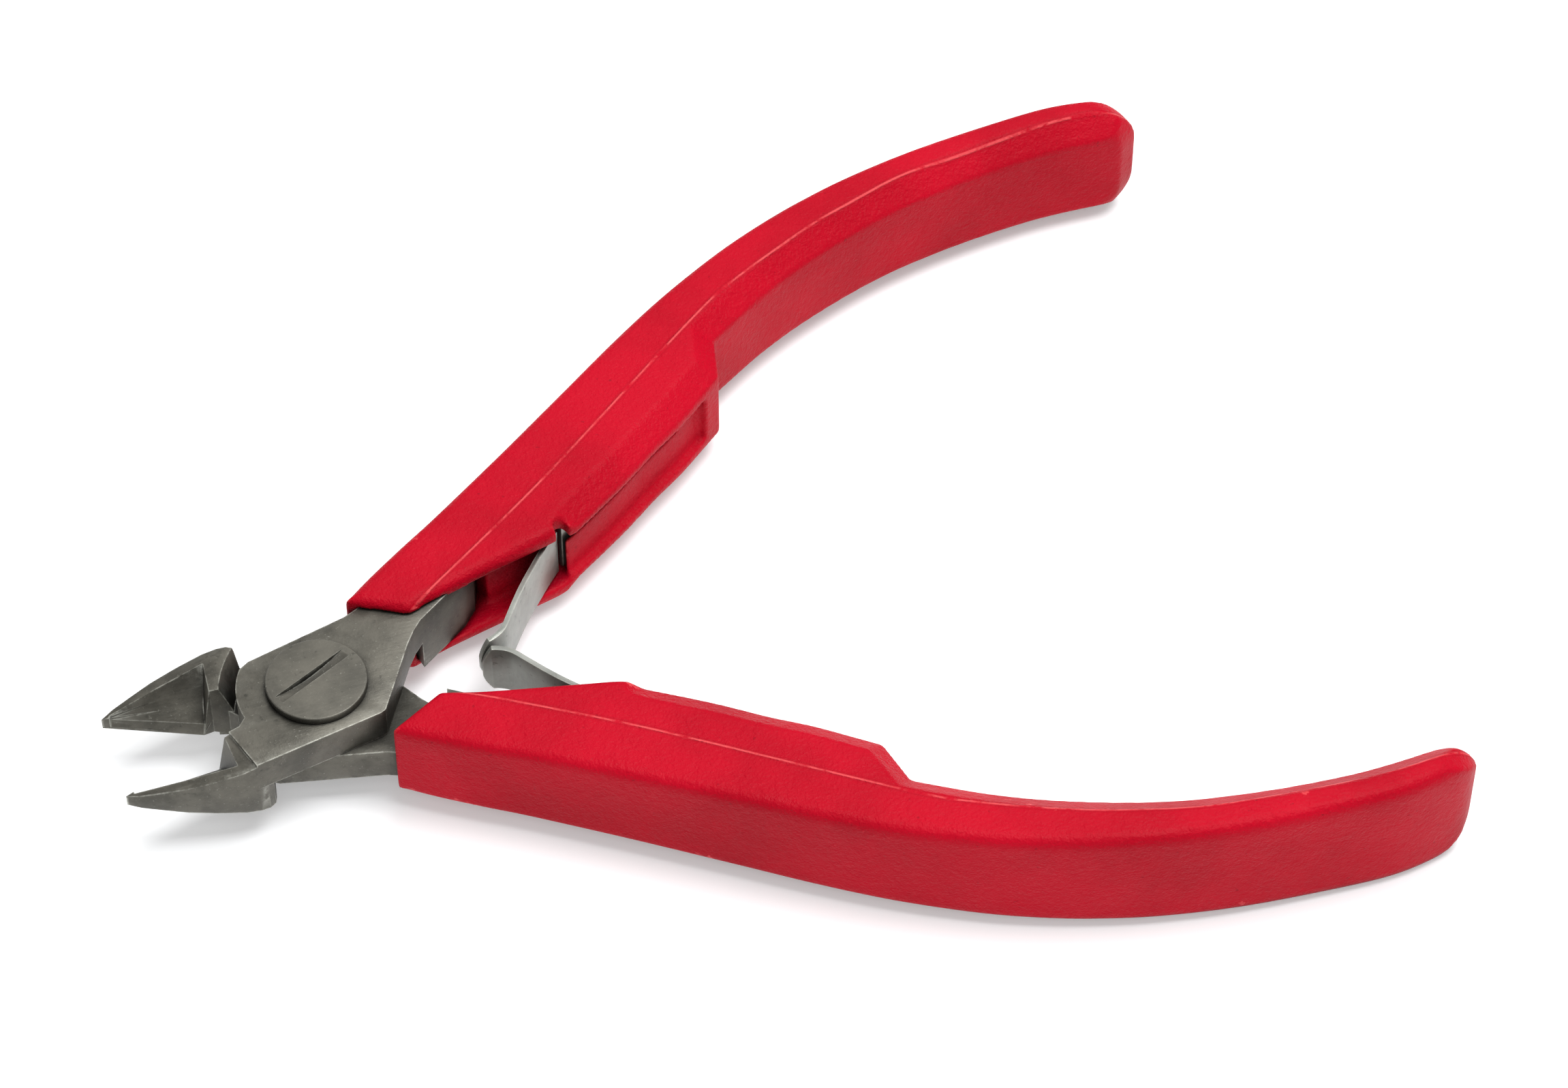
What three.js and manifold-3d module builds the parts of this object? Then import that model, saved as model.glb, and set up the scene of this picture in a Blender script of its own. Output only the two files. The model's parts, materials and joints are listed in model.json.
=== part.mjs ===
// Diagonal cutting pliers with a screwed lap joint, two leaf springs and moulded grips.
// Millimetres, +Z up. The tool lies flat, jaws towards -X and handles towards +X, held open by its springs.
// Both halves are drawn in the "half frame": jaws closed on the X axis, pivot at the origin, mid-plane at z = 0,
// this half's jaw on the -Y side and its handle on the +Y side. Half B is the mirror image in Y.

import * as THREE from 'three';
import { mergeVertices } from 'three/addons/utils/BufferGeometryUtils.js';
import Module from 'manifold-3d';

const wasm = await Module();
wasm.setup();

// ---- driving dimensions ----
const HALF_OPENING = 13.4;          // degrees that each half swings between closed and spring-open
const LAYER = 3.2;                  // thickness of one half in the lap joint
const LAP_GAP = 0.03;               // each half stays this far from the mid-plane
const FIT = 0.12;                   // clearance between the steel and the moulding
const HEAD_ARC = 6.78;              // radius of the joint's rounded front
const NOTCH_FOOT = 7.15;            // wall of the clearance notch at the mid-plane
const NOTCH_RIM = { top: 8.4, bottom: 7.7 };

const JAW_LENGTH = 18.2;            // pivot to jaw tip
const JAW_TAPER_START = -7;         // the jaw thins from here to its tip
const TIP_THICKNESS = 0.9;
const EDGE_RELIEF = 0.03;           // cutting edges stop just short of each other
const CUT_END = -9.85;              // inner end of the cutting edge

const SCREW = { headRadius: 4.29, headHeight: 0.72, shoulder: 2.5, thread: 1.95, bevel: 0.12, play: 0.06 };
const SLOT = { length: 7.4, width: 0.9, depth: 0.62, turn: 25.8, offset: 0.45 };

const GRIP_FRONT_HALF = 4.36;       // half thickness of the grip at x = GRIP_TAPER_X
const GRIP_TAPER_X = 10;
const GRIP_TAPER = 0.0235;          // growth of that half thickness per millimetre of length
const GRIP_EDGE = 0.9;              // rounding of the grip's long edges
const INNER_CHAMFER = { width: 2.1, height: 1.35 };
const TIP_CHAMFER = { width: 2.6, height: 2.9 };
const GRIP_END = 95.15;
const END_ROUNDING = { length: 5.2, flat: 2.05 };      // of the grip's end, in side view

const LEAF = { thickness: 0.45, height: 5.2, hinge: [25.6, 4.3] };

// ---- plan outlines, in the half frame ----
const jawOuter = [[-17.3, -0.8], [-16, -1.6], [-14, -2.78], [-11.8, -3.78], [-9.6, -4.62], [-8.3, -4.88]];
const jawHeel = [[-7.5, -4.86], [-6.85, -4.55], [-6.45, -3.95], [-6.3, -3.2]];
const jawRelief = [[-6.3, -0.2], [-7.6, -0.45], [-9, -0.5], [CUT_END, -EDGE_RELIEF]];

const layerNear = [[-8.3, -4.88], [3.1, -5.5], [3.6, -5.38], [6.48, -2.44], [8.56, -0.28], [9.72, 0.73]];
const layerFar = [[13, 6.9], [9.3, 6], [6.6, 5.35], [5.4, 5.15], [-3.7, 5.2]];

const tangFrontInner = [[10.8, 1.45], [12.2, 2], [14, 2.7], [16, 3.5], [17.6, 4.6], [18.5, 5.9], [18.8, 7.4]];
const tangFrontOuter = [[18.8, 9.2], [13, 7.2], [10.8, 6.45]];
const tangRearInner = [[17, 6.4], [26, 9], [33, 11.8], [42, 15.3], [48, 17.9], [55, 19.5], [62, 20.3], [72, 20.1]];
const tangRearOuter = [[72, 22.3], [62, 22.6], [52.6, 21.2], [46, 19.4], [33, 14.6], [26, 11.8], [17, 8.6]];

const gripOuter = [
  [6, 6.05], [9, 7.3], [13, 8.75], [17.3, 10.2], [25.9, 13.4], [33.1, 16.2], [40, 18.9], [46.3, 21.1],
  [52.6, 22.8], [57.3, 23.7], [62.1, 24.25], [68.1, 24.45], [75.2, 24], [83.3, 22.8], [88.5, 21.7], [92.4, 20.1],
];
const gripTip = [[94.3, 18.8], [GRIP_END, 17.1], [93.9, 15.9]];
const gripInnerRear = [
  [91.5, 16.5], [87.4, 17.6], [83.4, 18.4], [76.6, 19.2], [69.3, 19.4], [61.5, 18.6], [55, 17.2], [48.3, 15],
];
const gripLip = [[46.4, 11.1], [44.5, 10.2], [40.9, 8.5], [37.4, 7.15], [33.6, 5.5], [30, 4.1], [27.3, 3.1]];
const gripWing = [[25.2, 2.75], [22, 2.7], [14.4, 2.6], [10.2, 2.3]];

const leafSlotPath = [[26, 4.45], [30, 5.9], [33.6, 7.3], [37.4, 8.95], [42, 11]];
const leafBladePath = [
  LEAF.hinge, [24.3, 3.5], [22.2, 2.05], [19.9, 0.35], [17.8, -1.45], [16.9, -2.25], [16.2, -2.73],
  [15.1, -3.03], [13.9, -2.98],
];

// ---- helpers ----
function solid(geometry) {
  const bare = geometry.clone();
  bare.deleteAttribute('normal');
  bare.deleteAttribute('uv');
  const merged = mergeVertices(bare, 1e-5);
  return new wasm.Manifold(new wasm.Mesh({
    numProp: 3,
    vertProperties: new Float32Array(merged.attributes.position.array),
    triVerts: new Uint32Array(merged.index.array),
  }));
}

function mesh(name, body, material) {
  const data = body.getMesh();
  const geometry = new THREE.BufferGeometry();
  geometry.setAttribute('position', new THREE.BufferAttribute(new Float32Array(data.vertProperties), 3));
  geometry.setIndex(new THREE.BufferAttribute(new Uint32Array(data.triVerts), 1));
  geometry.computeVertexNormals();
  const node = new THREE.Mesh(geometry, material);
  node.name = name;
  return node;
}

function outline(points) {
  return new THREE.Shape(points.map(([x, y]) => new THREE.Vector2(x, y)));
}

// A plan outline made solid between two heights.
function plate(points, zLow, zHigh) {
  const geometry = new THREE.ExtrudeGeometry(outline(points), { depth: zHigh - zLow, bevelEnabled: false });
  geometry.translate(0, 0, zLow);
  return solid(geometry);
}

// A side outline, given as [x, z], made solid across the whole width of the tool.
function sidePlate(points, yLow, yHigh) {
  const geometry = new THREE.ExtrudeGeometry(outline(points), { depth: yHigh - yLow, bevelEnabled: false });
  geometry.rotateX(Math.PI / 2);
  geometry.translate(0, yHigh, 0);
  return solid(geometry);
}

function cone(radiusLow, radiusHigh, zLow, zHigh, sides = 48) {
  const geometry = new THREE.CylinderGeometry(radiusHigh, radiusLow, zHigh - zLow, sides);
  geometry.rotateX(Math.PI / 2);
  geometry.translate(0, 0, (zLow + zHigh) / 2);
  return solid(geometry);
}

function arc(radius, fromDegrees, toDegrees, steps) {
  return Array.from({ length: steps + 1 }, (_, i) => {
    const angle = THREE.MathUtils.degToRad(fromDegrees + (toDegrees - fromDegrees) * i / steps);
    return [radius * Math.cos(angle), radius * Math.sin(angle)];
  });
}

// Both sides of a path, a given distance apart, as one closed outline.
function ribbon(path, thickness, shift = 0) {
  const normals = path.map((_, i) => {
    const a = path[Math.max(i - 1, 0)];
    const b = path[Math.min(i + 1, path.length - 1)];
    const length = Math.hypot(b[0] - a[0], b[1] - a[1]);
    return [-(b[1] - a[1]) / length, (b[0] - a[0]) / length];
  });
  const side = (offset) => path.map(([x, y], i) => [x + normals[i][0] * offset, y + normals[i][1] * offset]);
  return [...side(shift - thickness / 2), ...side(shift + thickness / 2).reverse()];
}

// An outline moved outwards by a small clearance, corner by corner.
function outset(points, by) {
  const count = points.length;
  return points.map(([x, y], i) => {
    const a = points[(i + count - 1) % count];
    const b = points[(i + 1) % count];
    const turnIn = [x - a[0], y - a[1]];
    const turnOut = [b[0] - x, b[1] - y];
    const unit = ([u, v]) => [v / Math.hypot(u, v), -u / Math.hypot(u, v)];
    const [m, n] = [unit(turnIn), unit(turnOut)];
    const scale = by / Math.max(0.5, 1 + m[0] * n[0] + m[1] * n[1]);
    return [x + (m[0] + n[0]) * scale, y + (m[1] + n[1]) * scale];
  });
}

// A solid through sections that all have the same number of points, each point [x, y, z].
function loft(sections) {
  const count = sections[0].length;
  const positions = sections.flat(2);
  const index = [];
  for (let s = 0; s + 1 < sections.length; s += 1) {
    for (let i = 0; i < count; i += 1) {
      const a = s * count + i;
      const b = s * count + (i + 1) % count;
      index.push(a, b, b + count, a, b + count, a + count);
    }
  }
  const flat = sections[0].map(([, y, z]) => new THREE.Vector2(y, z));
  const last = (sections.length - 1) * count;
  for (const [a, b, c] of THREE.ShapeUtils.triangulateShape(flat, [])) {
    index.push(a, c, b, last + a, last + b, last + c);
  }
  const geometry = new THREE.BufferGeometry();
  geometry.setAttribute('position', new THREE.Float32BufferAttribute(positions, 3));
  geometry.setIndex(index);
  return solid(geometry);
}

// ---- steel halves ----
function jawHalfThickness(x) {
  const slope = (LAYER - TIP_THICKNESS / 2) / (JAW_TAPER_START + JAW_LENGTH);
  return Math.min(LAYER, TIP_THICKNESS / 2 + (x + JAW_LENGTH) * slope);
}

function ridge(x) {
  return -0.3 - (x + 17.4) * 0.437;
}

// The hollow-ground recess: from the outer ridge on the top face down to the cutting edge on the flush side.
function recess() {
  const section = (x, wall) => {
    const half = jawHalfThickness(x);
    const bevelTop = -half + Math.min(1.05, 0.9 * half);
    const floor = (t, sag) => {
      const y = -0.28 + (ridge(x) + 0.28) * t;
      const z = bevelTop + (half - bevelTop) * t;
      return [x + wall * (0.65 - 0.3 * t), y - sag * 0.7, z - sag * 0.7];
    };
    const sag = 0.13 * half;
    return [
      [x + wall * 1.4, 1, 5], [x + wall * 0.35, ridge(x) - 0.02, 5], [x + wall * 0.35, ridge(x), half],
      floor(0.66, sag), floor(0.33, sag), [x + wall * 0.65, -0.28, bevelTop],
      [x, -EDGE_RELIEF, -half + 0.1], [x, 1, -half + 0.1],
    ];
  };
  return loft([section(-17.5, 0), section(-13.5, 0), section(CUT_END, 1)]);
}

function jaw() {
  const tip = [[-JAW_LENGTH, -EDGE_RELIEF]];
  const block = plate([...tip, ...jawOuter, ...jawHeel, ...jawRelief], -LAYER, LAYER);
  const stations = [-JAW_LENGTH - 0.5, JAW_TAPER_START, 0];
  const top = stations.map((x) => [x, jawHalfThickness(Math.max(x, -JAW_LENGTH))]);
  const wedge = sidePlate([...top.map(([x, z]) => [x, -z]), ...top.reverse()], -10, 10);
  return block.intersect(wedge).subtract(recess());
}

function steelHalf(owns) {
  const up = owns === 'top';
  const layer = (low, high) => (up ? [low, high] : [-high, -low]);
  const rim = up ? NOTCH_RIM.bottom : NOTCH_RIM.top;
  const notch = up ? cone(rim, NOTCH_FOOT, -LAYER - 0.1, LAP_GAP) : cone(NOTCH_FOOT, rim, -LAP_GAP, LAYER + 0.1);
  const front = arc(HEAD_ARC, 134, 179, 10);
  const lap = plate(
    [...layerNear, ...tangFrontInner.slice(0, 2), ...layerFar, ...front, [-7.6, -0.45], [-8.6, -0.5]],
    ...layer(LAP_GAP, LAYER),
  );
  const tangFront = plate([...tangFrontInner, ...tangFrontOuter], -LAYER, LAYER);
  const tangRear = plate([...tangRearInner, ...tangRearOuter], -2, 2);
  const bore = (up ? SCREW.shoulder : SCREW.thread) + SCREW.play;
  return jaw().subtract(notch).add(lap).add(tangFront).add(tangRear).subtract(cone(bore, bore, -LAYER - 1, LAYER + 1));
}

// ---- pivot screw ----
function pivotScrew() {
  const foot = -LAYER;
  const seat = LAYER + 0.04;
  const top = seat + SCREW.headHeight;
  const profile = [
    [0, foot], [SCREW.thread - SCREW.bevel, foot], [SCREW.thread, foot + SCREW.bevel], [SCREW.thread, LAP_GAP],
    [SCREW.shoulder, LAP_GAP], [SCREW.shoulder, seat], [SCREW.headRadius, seat],
    [SCREW.headRadius, top - SCREW.bevel], [SCREW.headRadius - SCREW.bevel, top], [0, top],
  ];
  const turned = new THREE.LatheGeometry(profile.map(([r, z]) => new THREE.Vector2(r, z)), 64);
  turned.rotateX(Math.PI / 2);
  const cutterRadius = (SLOT.length ** 2 / 4 + SLOT.depth ** 2) / (2 * SLOT.depth);
  const cutter = new THREE.CylinderGeometry(cutterRadius, cutterRadius, SLOT.width, 96);
  cutter.translate(0, SLOT.offset, 0);
  cutter.rotateZ(THREE.MathUtils.degToRad(SLOT.turn));
  cutter.translate(0, 0, top + cutterRadius - SLOT.depth);
  return solid(turned).subtract(solid(cutter));
}

// ---- grips ----
function gripHalfThickness(x) {
  return GRIP_FRONT_HALF + (x - GRIP_TAPER_X) * GRIP_TAPER;
}

// An outline with bevelled edges whose thickness grows along the grip.
function taperedPlate(points, bevelSize, bevelThickness, bevelSegments) {
  const depth = 2 * (GRIP_FRONT_HALF - bevelThickness);
  const geometry = new THREE.ExtrudeGeometry(outline(points), {
    depth, bevelThickness, bevelSize, bevelOffset: -bevelSize, bevelSegments,
  });
  geometry.translate(0, 0, -depth / 2);
  const place = geometry.attributes.position;
  for (let i = 0; i < place.count; i += 1) {
    place.setZ(i, place.getZ(i) * gripHalfThickness(place.getX(i)) / GRIP_FRONT_HALF);
  }
  return solid(geometry);
}

// Rounded all round, with a wider chamfer along the inner side behind the spring's exit and a deep one at the tip.
function gripBody() {
  const inner = [...gripInnerRear, ...gripLip];
  const rounded = taperedPlate([...gripOuter, ...gripTip, ...inner, ...gripWing].reverse(), GRIP_EDGE, GRIP_EDGE, 3);
  const beyond = [[0, -12], [0, 34], [110, 34]];
  const chamferLine = [...beyond, [110, 12], ...inner, [26.2, -12]];
  const chamfered = taperedPlate(chamferLine.reverse(), INNER_CHAMFER.width, INNER_CHAMFER.height, 1);
  const tipLine = [...beyond, [97.5, 20], gripTip[1], [92.8, 16.1], [89.2, 16.1], [84, 15.3], [60, -12]];
  const tip = taperedPlate(tipLine.reverse(), TIP_CHAMFER.width, TIP_CHAMFER.height, 4);
  return rounded.intersect(chamfered).intersect(tip);
}

// The grip's end is rounded off in side view too.
function gripEndProfile() {
  const { length, flat } = END_ROUNDING;
  const half = gripHalfThickness(GRIP_END);
  const steps = 6;
  const rounded = Array.from({ length: steps + 1 }, (_, i) => {
    const angle = Math.PI / 2 * (1 - i / steps);
    return [GRIP_END - length + length * Math.cos(angle), flat + (half - flat) * Math.sin(angle)];
  });
  const lower = rounded.map(([x, z]) => [x, -z]);
  return sidePlate([[0, -half], ...lower, ...rounded.reverse(), [0, half]], 0, 40);
}

function grip(owns) {
  const up = owns === 'top';
  const spread = (points, by, z) => plate(outset(points, by), -z, z);
  const mouth = [[4, 9], [4, 2], [9, -3], [13.5, 1.5], [13.5, 7.2 + FIT], [9.3, 6 + FIT], [6.4, 5.3 + FIT]];
  const entry = up ? plate(mouth, -FIT, LAYER + FIT) : plate(mouth, -LAYER - FIT, FIT);
  const tangPocket = spread([...tangFrontInner, ...tangFrontOuter], FIT, LAYER + FIT)
    .add(spread([...tangRearInner, ...tangRearOuter], FIT, 2 + FIT));
  const wingGap = [[12, -4], [26.6, -4], [26.2, 4.2], [25.6, 5.3], [19, 4.7], [18.6, 6.2], [12, 6.2]];
  const cavity = plate(wingGap, -3, 3);
  const slot = plate(ribbon(leafSlotPath, 1.05), -2.85, 2.85);
  const recessPath = [...gripLip.slice(1), [26, 2.6]];
  const pocket = plate(ribbon(recessPath, 1.6), -2.6, 2.6);
  const slit = plate(ribbon(recessPath, 1.8, -1), 2.05, 2.6);
  const exitNotch = plate([[25, 1], [26.3, 1], [26.3, 3.9], [25, 3.9]], 2.5, 8);
  return gripBody().intersect(gripEndProfile())
    .subtract(entry).subtract(tangPocket).subtract(cavity).subtract(slot)
    .subtract(pocket).subtract(slit).subtract(exitNotch);
}

// ---- leaf springs ----
function leafAnchor() {
  return plate(ribbon([[26.2, 4.52], ...leafSlotPath.slice(1, -1), [41.4, 10.72]], LEAF.thickness),
    -LEAF.height / 2, LEAF.height / 2);
}

function leafBlade() {
  const half = LEAF.height / 2;
  const blade = plate(ribbon(leafBladePath, LEAF.thickness), -half, half);
  const bulge = Array.from({ length: 9 }, (_, i) => {
    const z = -half + (2 * half * i) / 8;
    return [13.85 + 0.9 * (z / half) ** 2, z];
  });
  return blade.intersect(sidePlate([[28, -half], [28, half], ...bulge.reverse()], -10, 10));
}

// ---- materials ----
const steel = () => new THREE.MeshStandardMaterial({ color: 0x6e6e68, roughness: 0.5, metalness: 0.8 });
const spring = () => new THREE.MeshStandardMaterial({ color: 0xa3a49f, roughness: 0.38, metalness: 0.9 });
const red = () => new THREE.MeshStandardMaterial({ color: 0xc8102e, roughness: 0.5, metalness: 0 });

// ---- assembly ----
const mirrored = (body) => body.mirror([0, 1, 0]);

const halfA = new THREE.Group();
halfA.rotation.z = THREE.MathUtils.degToRad(HALF_OPENING);
halfA.add(
  mesh('jaw_lever_a', steelHalf('top'), steel()),
  mesh('grip_a', grip('top'), red()),
  mesh('leaf_anchor_a', leafAnchor(), spring()),
  mesh('leaf_blade_a', leafBlade(), spring()),
);

const halfB = new THREE.Group();
halfB.rotation.z = THREE.MathUtils.degToRad(-HALF_OPENING);
halfB.add(
  mesh('jaw_lever_b', mirrored(steelHalf('bottom')), steel()),
  mesh('grip_b', mirrored(grip('bottom')), red()),
  mesh('leaf_anchor_b', mirrored(leafAnchor()), spring()),
  mesh('leaf_blade_b', mirrored(leafBlade()), spring()),
);

const pliers = new THREE.Group();
pliers.add(halfA, halfB, mesh('pivot_screw', pivotScrew(), steel()));
pliers.updateMatrixWorld(true);

// The origin is the middle of the tool's footprint, on the surface that it lies on.
const box = new THREE.Box3().setFromObject(pliers, true);
pliers.position.set(-(box.min.x + box.max.x) / 2, 0, -box.min.z);

export default pliers;
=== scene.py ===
"""Looks of the diagonal cutting pliers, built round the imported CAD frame.

Blender works in metres in the row frame. Outlines here are in millimetres in the half frame: the pivot is the
origin, the closed tool lies along X and this half's handle is on the +Y side.
"""
import json
import math

import bmesh
import bpy
import numpy as np
from mathutils import Matrix, Vector

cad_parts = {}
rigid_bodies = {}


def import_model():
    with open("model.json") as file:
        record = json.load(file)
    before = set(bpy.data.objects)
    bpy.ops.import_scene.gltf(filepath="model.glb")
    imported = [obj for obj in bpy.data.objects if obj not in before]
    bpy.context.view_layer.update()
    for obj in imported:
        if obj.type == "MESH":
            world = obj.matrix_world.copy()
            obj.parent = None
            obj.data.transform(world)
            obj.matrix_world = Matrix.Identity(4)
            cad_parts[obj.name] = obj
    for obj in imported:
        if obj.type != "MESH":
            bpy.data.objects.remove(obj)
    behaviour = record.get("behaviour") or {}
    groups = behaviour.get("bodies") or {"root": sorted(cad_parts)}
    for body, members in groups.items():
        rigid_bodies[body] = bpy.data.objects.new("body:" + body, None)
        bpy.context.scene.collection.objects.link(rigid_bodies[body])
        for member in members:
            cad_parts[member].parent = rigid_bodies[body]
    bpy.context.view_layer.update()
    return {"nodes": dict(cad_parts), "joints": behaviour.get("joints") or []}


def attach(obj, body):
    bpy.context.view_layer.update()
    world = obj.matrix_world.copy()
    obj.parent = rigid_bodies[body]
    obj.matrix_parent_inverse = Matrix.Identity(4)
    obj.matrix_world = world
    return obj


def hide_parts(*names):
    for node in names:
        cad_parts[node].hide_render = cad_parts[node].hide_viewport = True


for old in list(bpy.data.objects):
    bpy.data.objects.remove(old)
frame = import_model()

MM = 0.001
HALF_OPENING = math.radians(13.4)
PIVOT = Vector(frame["joints"][0]["pos_m"])

LAYER = 3.2                         # half thickness of the steel halves
LAP_CLEARANCE = 0.12                # between a moulding's inner walls and the steel
GRIP_FRONT_HALF = 4.36              # half thickness of the grip at x = GRIP_TAPER_X
GRIP_TAPER_X = 10
GRIP_TAPER = 0.0235
GRIP_EDGE = 0.9                     # rounding of the grip's long edges
INNER_CHAMFER = (2.1, 1.35)         # width, height
TIP_CHAMFER = (2.6, 2.9)
END_ROUNDING = (5.2, 2.05)          # length, half height of the flat, in side view
LEAF_THICKNESS, LEAF_HALF_HEIGHT = 0.45, 2.6
FAR = 40                            # past the whole tool

# ---------------------------------------------------------------- outlines, in the half frame (mm)
GRIP_END = 95.15
grip_outer = [
    (6, 6.05), (9, 7.3), (13, 8.75), (17.3, 10.2), (25.9, 13.4), (33.1, 16.2), (40, 18.9), (46.3, 21.1),
    (52.6, 22.8), (57.3, 23.7), (62.1, 24.25), (68.1, 24.45), (75.2, 24), (83.3, 22.8), (88.5, 21.7),
    (92.4, 20.1),
    (94.3, 18.8), (GRIP_END, 17.1),
]
grip_inner_rear = [
    (GRIP_END, 17.1), (93.9, 15.95), (91.5, 16.5), (87.4, 17.6), (83.4, 18.4), (76.6, 19.2), (69.3, 19.4),
    (61.5, 18.6), (55, 17.2), (48.3, 15),
]
grip_lip = [(46.4, 11.1), (44.5, 10.2), (40.9, 8.5), (37.4, 7.15), (33.6, 5.5), (30, 4.1), (27.3, 3.1)]
grip_wing = [(27.3, 3.1), (25.2, 2.75), (22, 2.7), (14.4, 2.6), (10.2, 2.3)]
parting = [
    (6, 1), (11.1, 2.5), (23.5, 7), (31.8, 10.4), (47.9, 17.3), (53.5, 19.1), (61.4, 20.7), (66, 21.2),
    (72, 21.5), (77.6, 20.9), (85.8, 19.9), (90, 18.9), (93, 17.9), (96, 16.8),
]
tang_front = [
    (10.8, 1.45), (12.2, 2), (14, 2.7), (16, 3.5), (17.6, 4.6), (18.5, 5.9), (18.8, 7.4), (18.8, 9.2),
    (13, 7.2), (10.8, 6.45),
]
leaf_slot = [(26, 4.45), (30, 5.9), (33.6, 7.3), (37.4, 8.95), (42, 11)]
leaf_path = [
    (25.6, 4.3), (24.3, 3.5), (22.2, 2.05), (19.9, 0.35), (17.8, -1.45), (16.9, -2.25), (16.2, -2.73),
    (15.1, -3.03), (13.9, -2.98),
]


def grip_half(x):
    """Half thickness of the grip at this distance along it."""
    return GRIP_FRONT_HALF + (np.asarray(x, float) - GRIP_TAPER_X) * GRIP_TAPER


# ---------------------------------------------------------------- mesh helpers
def curve_through(points, step=0.7):
    """A smooth line through the points, sampled about every step millimetres."""
    p = np.array(points, float)
    p = np.vstack([2 * p[0] - p[1], p, 2 * p[-1] - p[-2]])
    out = []
    for a, b, c, d in zip(p, p[1:], p[2:], p[3:]):
        n = max(1, int(np.linalg.norm(c - b) / step))
        for i in range(n):
            t = i / n
            out.append(0.5 * (2 * b + (c - a) * t + (2 * a - 5 * b + 4 * c - d) * t * t
                              + (3 * b - a - 3 * c + d) * t ** 3))
    out.append(p[-2])
    return np.array(out)


def joined(*runs):
    """Runs of points one after another, without the doubled ends."""
    pts = [tuple(q) for run in runs for q in run]
    kept = [q for i, q in enumerate(pts) if math.dist(q[:2], pts[i - 1][:2]) > 1e-4]
    return np.array(kept, float)


def normals_of(p, closed=True):
    """Unit normals to the right of the line, one for each point."""
    if closed:
        t = np.roll(p, -1, 0) - p
        t /= np.linalg.norm(t, axis=1)[:, None] + 1e-12
        m = t + np.roll(t, 1, 0)
    else:
        m = np.gradient(p, axis=0)
    m /= np.linalg.norm(m, axis=1)[:, None] + 1e-12
    return np.stack([m[:, 1], -m[:, 0]], 1)


def make(name, verts, faces):
    """A mesh object from points in millimetres in the half frame or the pivot frame."""
    data = bpy.data.meshes.new(name)
    data.from_pydata([tuple(v) for v in verts], [], faces)
    data.validate()
    bm = bmesh.new()
    bm.from_mesh(data)
    bmesh.ops.recalc_face_normals(bm, faces=bm.faces)
    bm.to_mesh(data)
    bm.free()
    obj = bpy.data.objects.new(name, data)
    bpy.context.scene.collection.objects.link(obj)
    return obj


def rings(name, loops):
    """A closed solid through loops of points, with a flat cap at each end."""
    n = len(loops[0])
    verts = np.vstack(loops)
    faces = []
    for s in range(len(loops) - 1):
        for i in range(n):
            j = (i + 1) % n
            faces.append((s * n + i, s * n + j, (s + 1) * n + j, (s + 1) * n + i))
    faces.append(tuple(range(n)))
    faces.append(tuple(range((len(loops) - 1) * n, len(loops) * n)))
    return make(name, verts, faces)


def level(p, z):
    """An outline in plan at height z, which is one number or one for each point."""
    z = np.broadcast_to(z, (len(p),))
    return np.column_stack([p, z])


def plate(p, low, high):
    """A slab with this outline in plan."""
    p = np.array(p, float)
    return rings("cut", [level(p, low), level(p, high)])


def side_plate(p, low, high):
    """A slab with this outline in elevation, (x, z), from y = low to y = high."""
    p = np.array(p, float)
    loops = [np.column_stack([p[:, 0], np.full(len(p), y), p[:, 1]]) for y in (low, high)]
    return rings("cut", loops)


def tapered_plate(p, size, thick, steps):
    """A plan outline with rounded long edges, growing thicker along the grip."""
    p = np.array(p, float)
    area = np.sum(p[:, 0] * np.roll(p[:, 1], -1) - p[:, 1] * np.roll(p[:, 0], -1))
    if area < 0:
        p = p[::-1]
    n = normals_of(p)
    loops = []
    for k in range(steps + 1):
        a = math.pi / 2 * k / steps
        q = p - n * size * (1 - math.sin(a))
        share = 1 - thick * (1 - math.cos(a)) / GRIP_FRONT_HALF
        loops.append((q, share))
    loops = [level(q, -grip_half(q[:, 0]) * s) for q, s in loops] + [
        level(q, grip_half(q[:, 0]) * s) for q, s in reversed(loops)]
    return rings("body", loops)


def ribbon(path, thickness, shift=0.0):
    """Both sides of a path, a given distance apart, as one closed outline."""
    path = np.array(path, float)
    n = normals_of(path, closed=False)
    return np.vstack([path + n * (shift - thickness / 2), (path + n * (shift + thickness / 2))[::-1]])


def cut(obj, tool, how="DIFFERENCE"):
    """One boolean, applied at once; the tool is removed."""
    mod = obj.modifiers.new("cut", "BOOLEAN")
    mod.operation = how
    mod.solver = "MANIFOLD"
    mod.object = tool
    settle(obj)
    bpy.data.objects.remove(tool)
    return obj


def settle(obj):
    """Applies every modifier."""
    graph = bpy.context.evaluated_depsgraph_get()
    data = bpy.data.meshes.new_from_object(obj.evaluated_get(graph))
    obj.modifiers.clear()
    obj.data = data


def into_frame(obj, half):
    """From the half frame in millimetres to the row frame in metres, for half A, half B or the screw."""
    turn = {"a": HALF_OPENING, "b": -HALF_OPENING, "": 0.0}[half]
    m = Matrix.Translation(PIVOT) @ Matrix.Rotation(turn, 4, "Z")
    if half == "b":
        m = m @ Matrix.Scale(-1, 4, (0, 1, 0))
    m = m @ Matrix.Scale(MM, 4)
    obj.data.transform(m)
    if half == "b":
        obj.data.flip_normals()


def shade(obj, angle=None):
    """Smooth shading, with edges sharper than the angle left hard."""
    for f in obj.data.polygons:
        f.use_smooth = True
    if angle:
        bpy.context.view_layer.objects.active = obj
        obj.select_set(True)
        bpy.ops.object.shade_smooth_by_angle(angle=math.radians(angle))
        obj.select_set(False)


# ---------------------------------------------------------------- materials
def linear(*rgb):
    """A colour given from 0 to 255 as a screen shows it."""
    return (*(((c / 255 + 0.055) / 1.055) ** 2.4 if c > 10 else c / 255 / 12.92 for c in rgb), 1)


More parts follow.
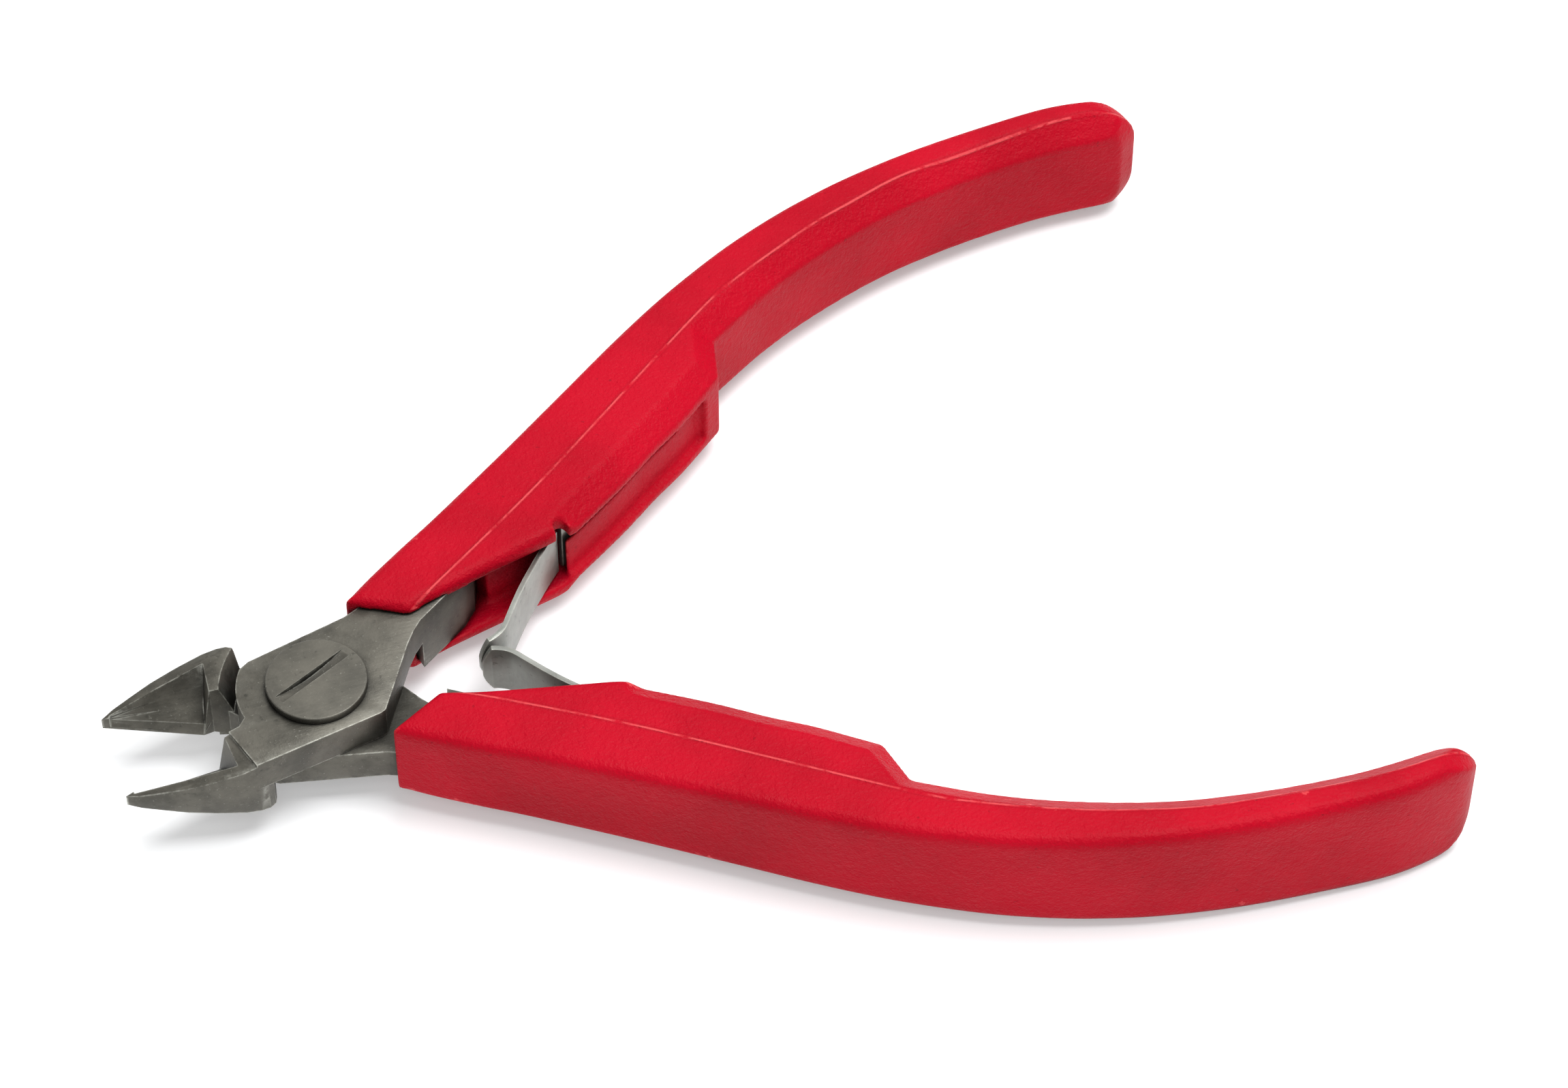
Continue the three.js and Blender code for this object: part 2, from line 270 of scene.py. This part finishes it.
class Nodes:
    """Short names for building one material."""

    def __init__(self, name):
        self.mat = bpy.data.materials.new(name)
        self.mat.use_nodes = True
        self.tree = self.mat.node_tree
        self.bsdf = self.tree.nodes["Principled BSDF"]
        self.coord = self.tree.nodes.new("ShaderNodeTexCoord").outputs["Object"]

    def add(self, kind, **inputs):
        node = self.tree.nodes.new("ShaderNode" + kind)
        for key, value in inputs.items():
            if key in ("operation", "attribute_name"):
                setattr(node, key, value)
                continue
            numbered = key[0] == "i" and key[1:].isdigit()
            self.feed(node.inputs[int(key[1:]) if numbered else key.replace("_", " ")], value)
        return node

    def feed(self, socket, value):
        """Links an output to the socket, or sets the socket to a plain value."""
        if hasattr(value, "is_output"):
            self.tree.links.new(value, socket)
        else:
            socket.default_value = value

    def math(self, op, a, b=0.0, c=0.0):
        return self.add("Math", operation=op, i0=a, i1=b, i2=c).outputs[0]

    def scaled(self, x, y, z):
        node = self.add("Mapping", Vector=self.coord)
        node.inputs["Scale"].default_value = (x, y, z)
        return node.outputs[0]

    def noise(self, scale, detail=4.0, rough=0.55, vector=None):
        return self.add("TexNoise", Vector=vector or self.coord, Scale=scale, Detail=detail,
                        Roughness=rough).outputs["Fac"]

    def ramp(self, value, low, high):
        """0 below low, 1 above high."""
        node = self.add("MapRange", Value=value)
        node.inputs["From Min"].default_value = low
        node.inputs["From Max"].default_value = high
        node.interpolation_type = "SMOOTHSTEP"
        return node.outputs[0]

    def mix(self, factor, a, b, how="MIX"):
        node = self.tree.nodes.new("ShaderNodeMix")
        node.data_type = "RGBA"
        node.blend_type = how
        for socket, value in ((node.inputs[0], factor), (node.inputs[6], a), (node.inputs[7], b)):
            self.feed(socket, value)
        return node.outputs[2]

    def convex_edges(self, low, high):
        """1 on convex edges of a dense mesh; the mask of a painted highlight."""
        return self.ramp(self.add("NewGeometry").outputs["Pointiness"], low, high)

    def edges(self, radius, low, high):
        """1 within the radius of an edge, on a mesh of large faces."""
        rounded = self.add("Bevel", Radius=radius).outputs[0]
        true = self.add("NewGeometry").outputs["True Normal"]
        along = self.tree.nodes.new("ShaderNodeVectorMath")
        along.operation = "DOT_PRODUCT"
        self.tree.links.new(rounded, along.inputs[0])
        self.tree.links.new(true, along.inputs[1])
        return self.ramp(self.math("SUBTRACT", 1.0, along.outputs["Value"]), low, high)

    def sheltered(self, distance, low, high):
        """1 deep in a crevice."""
        open_sky = self.add("AmbientOcclusion", Distance=distance).outputs["AO"]
        return self.math("SUBTRACT", 1.0, self.ramp(open_sky, low, high))

    def bump(self, height, strength, distance, normal=None):
        node = self.add("Bump", Height=height, Strength=strength, Distance=distance)
        if normal:
            self.tree.links.new(normal, node.inputs["Normal"])
        return node.outputs[0]

    def set(self, **inputs):
        """Feeds the surface shader and hands back the material."""
        for key, value in inputs.items():
            self.feed(self.bsdf.inputs[key.replace("_", " ")], value)
        return self.mat


def moulded_red():
    m = Nodes("moulded_red")
    cloud = m.noise(70, 4)
    peel = m.noise(1900, 3, 0.6)
    grain = m.noise(4600, 2, 0.6)
    colour = m.mix(m.ramp(cloud, 0.32, 0.68), linear(168, 0, 26), linear(188, 3, 33))
    colour = m.mix(m.math("MULTIPLY", m.ramp(grain, 0.58, 0.74), 0.3), colour, linear(204, 26, 44))
    colour = m.mix(m.math("MULTIPLY", m.ramp(peel, 0.62, 0.8), 0.25), colour, linear(158, 2, 24))
    line = m.math("ABSOLUTE", m.add("Attribute", attribute_name="parting").outputs["Fac"])
    # painted highlight: the parting ridge drawn as a light, broken line, with a painted shade band beside it;
    # the same mask also raises the ridge in the bump
    broken = m.ramp(m.noise(260, 4, 0.75), 0.36, 0.56)
    parting_ridge_and_highlight = m.math("MULTIPLY", m.math("SUBTRACT", 1.0, m.ramp(line, 0.05, 0.17)), broken)
    colour = m.mix(m.math("MULTIPLY", parting_ridge_and_highlight, 0.75), colour, linear(226, 84, 88))
    shade = m.math("MULTIPLY", m.ramp(line, 0.16, 0.2), m.math("SUBTRACT", 1.0, m.ramp(line, 0.2, 0.42)))
    colour = m.mix(m.math("MULTIPLY", shade, 0.3), colour, linear(146, 2, 22))
    pits = m.ramp(m.noise(2100, 1, 0.4), 0.75, 0.8)
    colour = m.mix(m.math("MULTIPLY", pits, 0.4), colour, linear(112, 2, 20))
    # painted highlight along the convex edges of the grip, broken up by noise
    grip_edge_highlight = m.math("MULTIPLY", m.convex_edges(0.53, 0.6), m.ramp(m.noise(900, 3, 0.7), 0.42, 0.62))
    colour = m.mix(m.math("MULTIPLY", grip_edge_highlight, 0.55), colour, linear(238, 96, 98))
    # painted shade: darker red deep in crevices, from ambient occlusion
    colour = m.mix(m.math("MULTIPLY", m.sheltered(0.003, 0.25, 0.8), 0.85), colour, linear(84, 0, 14))
    height = m.math("ADD", m.math("MULTIPLY", peel, 0.65), m.math("MULTIPLY", grain, 0.35))
    normal = m.bump(height, 1.0, 0.00019)
    normal = m.bump(parting_ridge_and_highlight, 0.9, 0.0001, normal)
    rough = m.math("ADD", 0.36, m.math("MULTIPLY", m.noise(300, 2), 0.2))
    return m.set(Base_Color=colour, Roughness=rough, Normal=normal, Specular_IOR_Level=0.09, IOR=1.5)


def steel(name, dark, light, rough_low, rough_high, bump, crevice_shade, edge_highlight_strength):
    m = Nodes(name)
    patch = m.noise(240, 6, 0.62)
    streak = m.noise(1, 3, 0.6, vector=m.scaled(380, 3600, 900))
    speck = m.noise(4400, 2, 0.6)
    colour = m.mix(m.ramp(patch, 0.3, 0.72), dark, light)
    colour = m.mix(m.math("MULTIPLY", m.ramp(streak, 0.45, 0.75), 0.3), colour, light)
    colour = m.mix(m.math("MULTIPLY", m.ramp(speck, 0.64, 0.78), 0.45), colour, linear(158, 158, 148))
    colour = m.mix(m.math("MULTIPLY", m.ramp(m.noise(1700, 3), 0.6, 0.78), 0.5), colour, linear(40, 40, 36))
    # painted shade: near-black deep in crevices and in the screw slot, from ambient occlusion
    colour = m.mix(m.math("MULTIPLY", m.sheltered(0.004, 0.3, 0.92), crevice_shade), colour, linear(24, 24, 21))
    # painted highlight: lighter steel along the edges, broken up by noise
    steel_edge_highlight = m.math("MULTIPLY", m.edges(0.00016, 0.006, 0.09), m.ramp(m.noise(700, 4, 0.7), 0.34, 0.6))
    colour = m.mix(m.math("MULTIPLY", steel_edge_highlight, edge_highlight_strength), colour, linear(186, 186, 176))
    height = m.math("ADD", m.math("MULTIPLY", streak, 0.4), m.math("MULTIPLY", speck, 0.6))
    normal = m.bump(height, bump, 0.00005)
    rough = m.math("ADD", rough_low, m.math("MULTIPLY", patch, rough_high - rough_low))
    return m.set(Base_Color=colour, Roughness=rough, Normal=normal, Metallic=0.6)


RED = moulded_red()
# the last two numbers of each steel set the strength of its painted crevice shade and of its painted edge
# highlight
STEEL = steel("dark_steel", linear(74, 72, 65), linear(108, 105, 96), 0.38, 0.62, 0.6, 0.85, 0.9)
SCREW = steel("screw_steel", linear(82, 80, 73), linear(106, 103, 94), 0.42, 0.58, 0.35, 0.98, 0.3)
SPRING = steel("spring_steel", linear(128, 130, 124), linear(160, 162, 156), 0.3, 0.46, 0.2, 0.75, 0.8)

# ---------------------------------------------------------------- grips
def grip(half):
    up = half == "a"
    outer = curve_through(grip_outer)
    inner = joined(curve_through(grip_inner_rear), curve_through(grip_lip))
    whole = joined(outer, inner, curve_through(grip_wing))
    body = tapered_plate(whole, GRIP_EDGE, GRIP_EDGE, 6)
    beyond = [(0, -12), (0, 34), (110, 34)]
    chamfer = joined(beyond, [(110, 12)], curve_through([(110, 12), (93.9, 15.9)] + grip_inner_rear[2:])[1:],
                     curve_through(grip_lip), [(26.2, -12)])
    cut(body, tapered_plate(chamfer, *INNER_CHAMFER, 1), "INTERSECT")
    tip = joined(beyond, [(97.5, 20), (GRIP_END, 17.1), (92.8, 16.1), (89.2, 16.1), (84, 15.3), (60, -12)])
    cut(body, tapered_plate(tip, *TIP_CHAMFER, 10), "INTERSECT")
    half_end = float(grip_half(GRIP_END))
    length, flat = END_ROUNDING
    bend = [(GRIP_END - length + length * math.cos(a), flat + (half_end - flat) * math.sin(a))
            for a in np.linspace(math.pi / 2, 0, 18)]
    profile = [(0, -half_end)] + [(x, -z) for x, z in bend] + bend[::-1] + [(0, half_end)]
    cut(body, side_plate(profile, -FAR / 2, FAR), "INTERSECT")
    mouth = [(4, 9), (4, 2), (9, -3), (13.5, 1.5), (13.5, 7.32), (9.3, 6.12), (6.4, 5.42)]
    reach = LAYER + LAP_CLEARANCE
    cut(body, plate(mouth, -LAP_CLEARANCE, reach) if up else plate(mouth, -reach, LAP_CLEARANCE))
    p = np.array(tang_front, float)
    cut(body, plate(p + normals_of(p) * LAP_CLEARANCE, -reach, reach))
    gap = [(12, -4), (26.6, -4), (26.2, 4.2), (25.6, 5.3), (19, 4.7), (18.6, 6.2), (12, 6.2)]
    cut(body, plate(gap, -3.05, 3.05))
    cut(body, plate(ribbon(curve_through(leaf_slot), 1.05), -2.85, 2.85))
    recess = curve_through(grip_lip[1:] + [(26, 2.6)])
    cut(body, plate(ribbon(recess, 1.6), -2.6, 2.6))
    cut(body, plate(ribbon(recess[4:], 3.3), 1.25, 2.55))
    cut(body, plate(ribbon(recess, 1.8, 1), 2.05, 2.6))
    if up:
        cut(body, plate([(25, 1), (26.3, 1), (26.3, 3.9), (25, 3.9)], 2.5, 8))
    mod = body.modifiers.new("even", "REMESH")
    mod.mode = "VOXEL"
    mod.voxel_size = 0.24
    soft = body.modifiers.new("soft", "SMOOTH")
    soft.factor = 0.5
    soft.iterations = 5
    settle(body)
    mark_parting(body)
    body.name = "grip_%s_moulding" % half
    body.data.name = body.name
    into_frame(body, half)
    shade(body)
    body.data.materials.clear()
    body.data.materials.append(RED)
    return body


def mark_parting(obj):
    """Distance in plan from the moulding's parting line, kept on the faces that look up or down."""
    data = obj.data
    co = np.zeros(len(data.vertices) * 3)
    data.vertices.foreach_get("co", co)
    co = co.reshape(-1, 3)
    line = curve_through(parting)
    y = np.interp(co[:, 0], line[:, 0], line[:, 1])
    slope = np.interp(co[:, 0], line[:, 0], np.gradient(line[:, 1], line[:, 0]))
    away = (co[:, 1] - y) / np.sqrt(1 + slope ** 2)
    away[np.abs(co[:, 2]) < 3.6] = 9
    data.attributes.new("parting", "FLOAT", "POINT").data.foreach_set("value", away.astype(np.float32))


for half in "ab":
    piece = grip(half)
    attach(piece, "half_" + half)
    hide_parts("grip_" + half)


# ---------------------------------------------------------------- leaf springs
def leaf(half):
    path = curve_through(leaf_path, 0.25)
    high = LEAF_HALF_HEIGHT
    body = plate(ribbon(path, LEAF_THICKNESS), -high, high)
    z = np.linspace(-high, high, 25)
    bulge = [(13.85 + 0.9 * (v / high) ** 2, v) for v in z]
    cut(body, side_plate([(28, -high), (28, high)] + bulge[::-1], -10, 10), "INTERSECT")
    finish_steel(body, "leaf_%s_strip" % half, half, 0.06, SPRING)
    return body


def finish_steel(body, name, half, bevel, material):
    """Places a turned or bent steel piece, softens its edges and gives it its material."""
    into_frame(body, half)
    body.name = name
    body.data.name = name
    mod = body.modifiers.new("edges", "BEVEL")
    mod.width = bevel * MM
    mod.segments = 2
    mod.limit_method = "ANGLE"
    mod.angle_limit = math.radians(32)
    settle(body)
    shade(body, 40)
    body.data.materials.clear()
    body.data.materials.append(material)


for half in "ab":
    piece = leaf(half)
    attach(piece, "spring_blade_" + half)
    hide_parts("leaf_blade_" + half)


# ---------------------------------------------------------------- pivot screw
def screw():
    low, seat, head = -LAYER, 3.24, 0.72
    top = seat + head
    radius, chamfer = 4.29, 0.12
    steps = np.linspace(0, math.pi / 2, 5)
    bevel = [(radius - chamfer * (1 - math.cos(a)), top - chamfer * (1 - math.sin(a))) for a in steps]
    profile = [(1.83, low), (1.95, low + chamfer), (1.95, 0.03), (2.5, 0.03), (2.5, seat)]
    profile += [(4.22, seat), (radius, seat + 0.07)] + bevel
    count = 160
    turns = np.linspace(0, 2 * math.pi, count, endpoint=False)
    loops = [np.column_stack([r * np.cos(turns), r * np.sin(turns), np.full(count, z)]) for r, z in profile]
    body = rings("screw", loops)
    length, width, depth, turn, offset = 7.4, 0.9, 0.62, math.radians(25.8), 0.45
    cutter = (length ** 2 / 4 + depth ** 2) / (2 * depth)
    around = np.linspace(0, 2 * math.pi, 240, endpoint=False)
    loops = [np.column_stack([cutter * np.sin(around), np.full(len(around), offset + side * width / 2),
                              top + cutter - depth + cutter * np.cos(around)]) for side in (-1, 1)]
    tool = rings("slot", loops)
    tool.data.transform(Matrix.Rotation(turn, 4, "Z"))
    cut(body, tool)
    finish_steel(body, "pivot_screw_turned", "", 0.05, SCREW)
    return body


piece = screw()
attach(piece, "half_b")
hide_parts("pivot_screw")

# ------------------------------------------------------------- steel halves and spring feet, from the CAD
for name, material, width in (("jaw_lever_a", STEEL, 0.09), ("jaw_lever_b", STEEL, 0.09),
                              ("leaf_anchor_a", SPRING, 0.04), ("leaf_anchor_b", SPRING, 0.04)):
    obj = frame["nodes"][name]
    weld = obj.modifiers.new("weld", "WELD")
    weld.merge_threshold = 0.000002
    flat = obj.modifiers.new("flat", "DECIMATE")
    flat.decimate_type = "DISSOLVE"
    flat.angle_limit = math.radians(0.4)
    edge = obj.modifiers.new("edges", "BEVEL")
    edge.width = width * MM
    edge.segments = 2
    edge.limit_method = "ANGLE"
    edge.angle_limit = math.radians(24)
    obj.data.materials.clear()
    obj.data.materials.append(material)

# ---------------------------------------------------------------- studio
def floor():
    size = 3.0
    corners = [(-size, -size, 0), (size, -size, 0), (size, size, 0), (-size, size, 0)]
    obj = make("studio_floor", corners, [(0, 1, 2, 3)])
    m = Nodes("studio_floor")
    obj.data.materials.append(m.set(Base_Color=(0.78, 0.79, 0.8, 1), Roughness=0.9, Specular_IOR_Level=0.1,
                                    Emission_Color=(1, 1, 1, 1), Emission_Strength=0.3))


def area(name, size, energy, location):
    """A rectangular soft light that faces the tool."""
    light = bpy.data.lights.new(name, "AREA")
    light.shape = "RECTANGLE"
    light.size, light.size_y = size
    light.energy = energy
    obj = bpy.data.objects.new(name, light)
    obj.location = location
    obj.rotation_mode = "QUATERNION"
    obj.rotation_quaternion = Vector(location).to_track_quat("Z", "Y")
    bpy.context.scene.collection.objects.link(obj)


def camera():
    """A long lens from the front left, about fifty degrees above the bench."""
    azimuth, elevation, distance = math.radians(-18.827), math.radians(49.905), 441.18 * MM
    target = PIVOT + Vector((42.787, 4.468, 0)) * MM
    level_part = math.cos(elevation)
    back = Vector((math.sin(azimuth) * level_part, -math.cos(azimuth) * level_part, math.sin(elevation)))
    data = bpy.data.cameras.new("camera")
    data.sensor_width = 36
    data.lens = 36 * 7500 / 2301
    data.clip_start, data.clip_end = 0.01, 20
    obj = bpy.data.objects.new("camera", data)
    obj.location = target + back * distance
    obj.rotation_mode = "QUATERNION"
    obj.rotation_quaternion = back.to_track_quat("Z", "Y")
    bpy.context.scene.collection.objects.link(obj)
    bpy.context.scene.camera = obj


floor()
area("overhead", (0.34, 0.3), 3.4, (0.14, -0.02, 0.55))
area("front_top", (0.45, 0.35), 0.9, (-0.15, -0.45, 0.62))
area("back", (0.6, 0.3), 0.8, (0.1, 0.5, 0.45))
camera()
world = bpy.data.worlds.new("studio")
bpy.context.scene.world = world
world.use_nodes = True
world.node_tree.nodes["Background"].inputs[0].default_value = (1, 1, 1, 1)
world.node_tree.nodes["Background"].inputs[1].default_value = 0.32
bpy.context.scene.view_settings.view_transform = "Standard"
